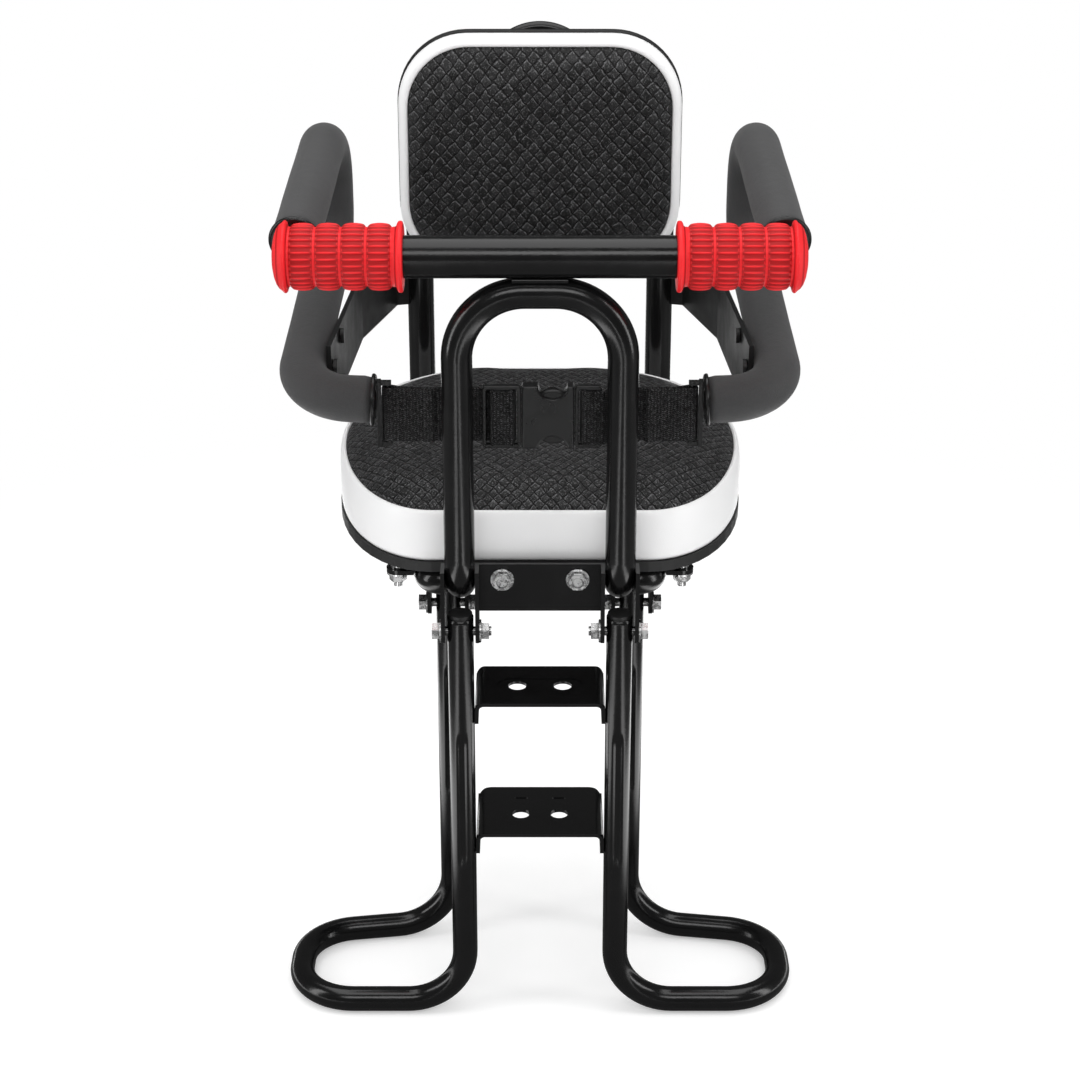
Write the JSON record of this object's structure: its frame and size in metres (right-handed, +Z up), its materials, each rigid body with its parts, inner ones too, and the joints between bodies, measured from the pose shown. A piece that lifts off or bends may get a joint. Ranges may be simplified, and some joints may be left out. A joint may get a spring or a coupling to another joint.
{
  "type": "child bike seat",
  "caption": "Child bike seat: quilted seat and backrest on a bent steel tube frame with foot loops, padded arms, a front hand bar and a lap belt.",
  "frame": {"origin": "on the floor under the foot loops, in the middle of the width, about under the middle of the seat", "axes": "+X to the right as seen from the front bar, +Y from the front bar towards the backrest, +Z up"},
  "size_m": [0.3528, 0.305, 0.6285],
  "materials": {
    "frame_paint": "gloss black paint",
    "bolt_chrome": "bright zinc",
    "grip_red": "moulded, semi-gloss",
    "black_plastic": "moulded, fine grain",
    "white_vinyl": "smooth vinyl",
    "dark_fabric": "scale-embossed fabric",
    "arm_foam": "matt foam sleeve",
    "arm_steel": "plain",
    "belt_webbing": "woven webbing"
  },
  "bodies": {
    "root": {"back_posts": "frame_paint", "seat_rails": "frame_paint", "front_arch": "frame_paint", "front_bracket": "frame_paint", "bracket_bolts": "bolt_chrome", "front_bar": "frame_paint", "bar_weld": "frame_paint", "grip_left": "grip_red", "grip_right": "grip_red", "leg_left": "frame_paint", "leg_right": "frame_paint", "leg_plugs": "black_plastic", "upper_clamp_plate": "frame_paint", "lower_clamp_plate": "frame_paint", "outer_ears": "frame_paint", "rear_ears": "frame_paint", "front_leg_bolts": "bolt_chrome", "rear_leg_bolts": "bolt_chrome", "cross_bars": "frame_paint", "seat_board": "black_plastic", "seat_band": "white_vinyl", "seat_cushion": "dark_fabric", "seat_lugs": "frame_paint", "seat_bolts": "bolt_chrome", "carry_loop": "frame_paint", "back_brackets": "frame_paint", "backrest_board": "black_plastic", "backrest_band": "white_vinyl", "backrest_cushion": "dark_fabric", "backrest_bolts": "bolt_chrome", "arm_tube_left": "arm_steel", "arm_tube_right": "arm_steel", "arm_foam_left": "arm_foam", "arm_foam_right": "arm_foam", "arm_caps": "black_plastic", "side_band_left": "frame_paint", "side_band_right": "frame_paint", "side_band_screws": "arm_steel", "belt_anchors": "frame_paint", "belt_left": "belt_webbing", "belt_right": "belt_webbing", "buckle_body": "black_plastic", "buckle_tongue": "black_plastic", "buckle_adjuster": "black_plastic"}
  },
  "joints": []
}
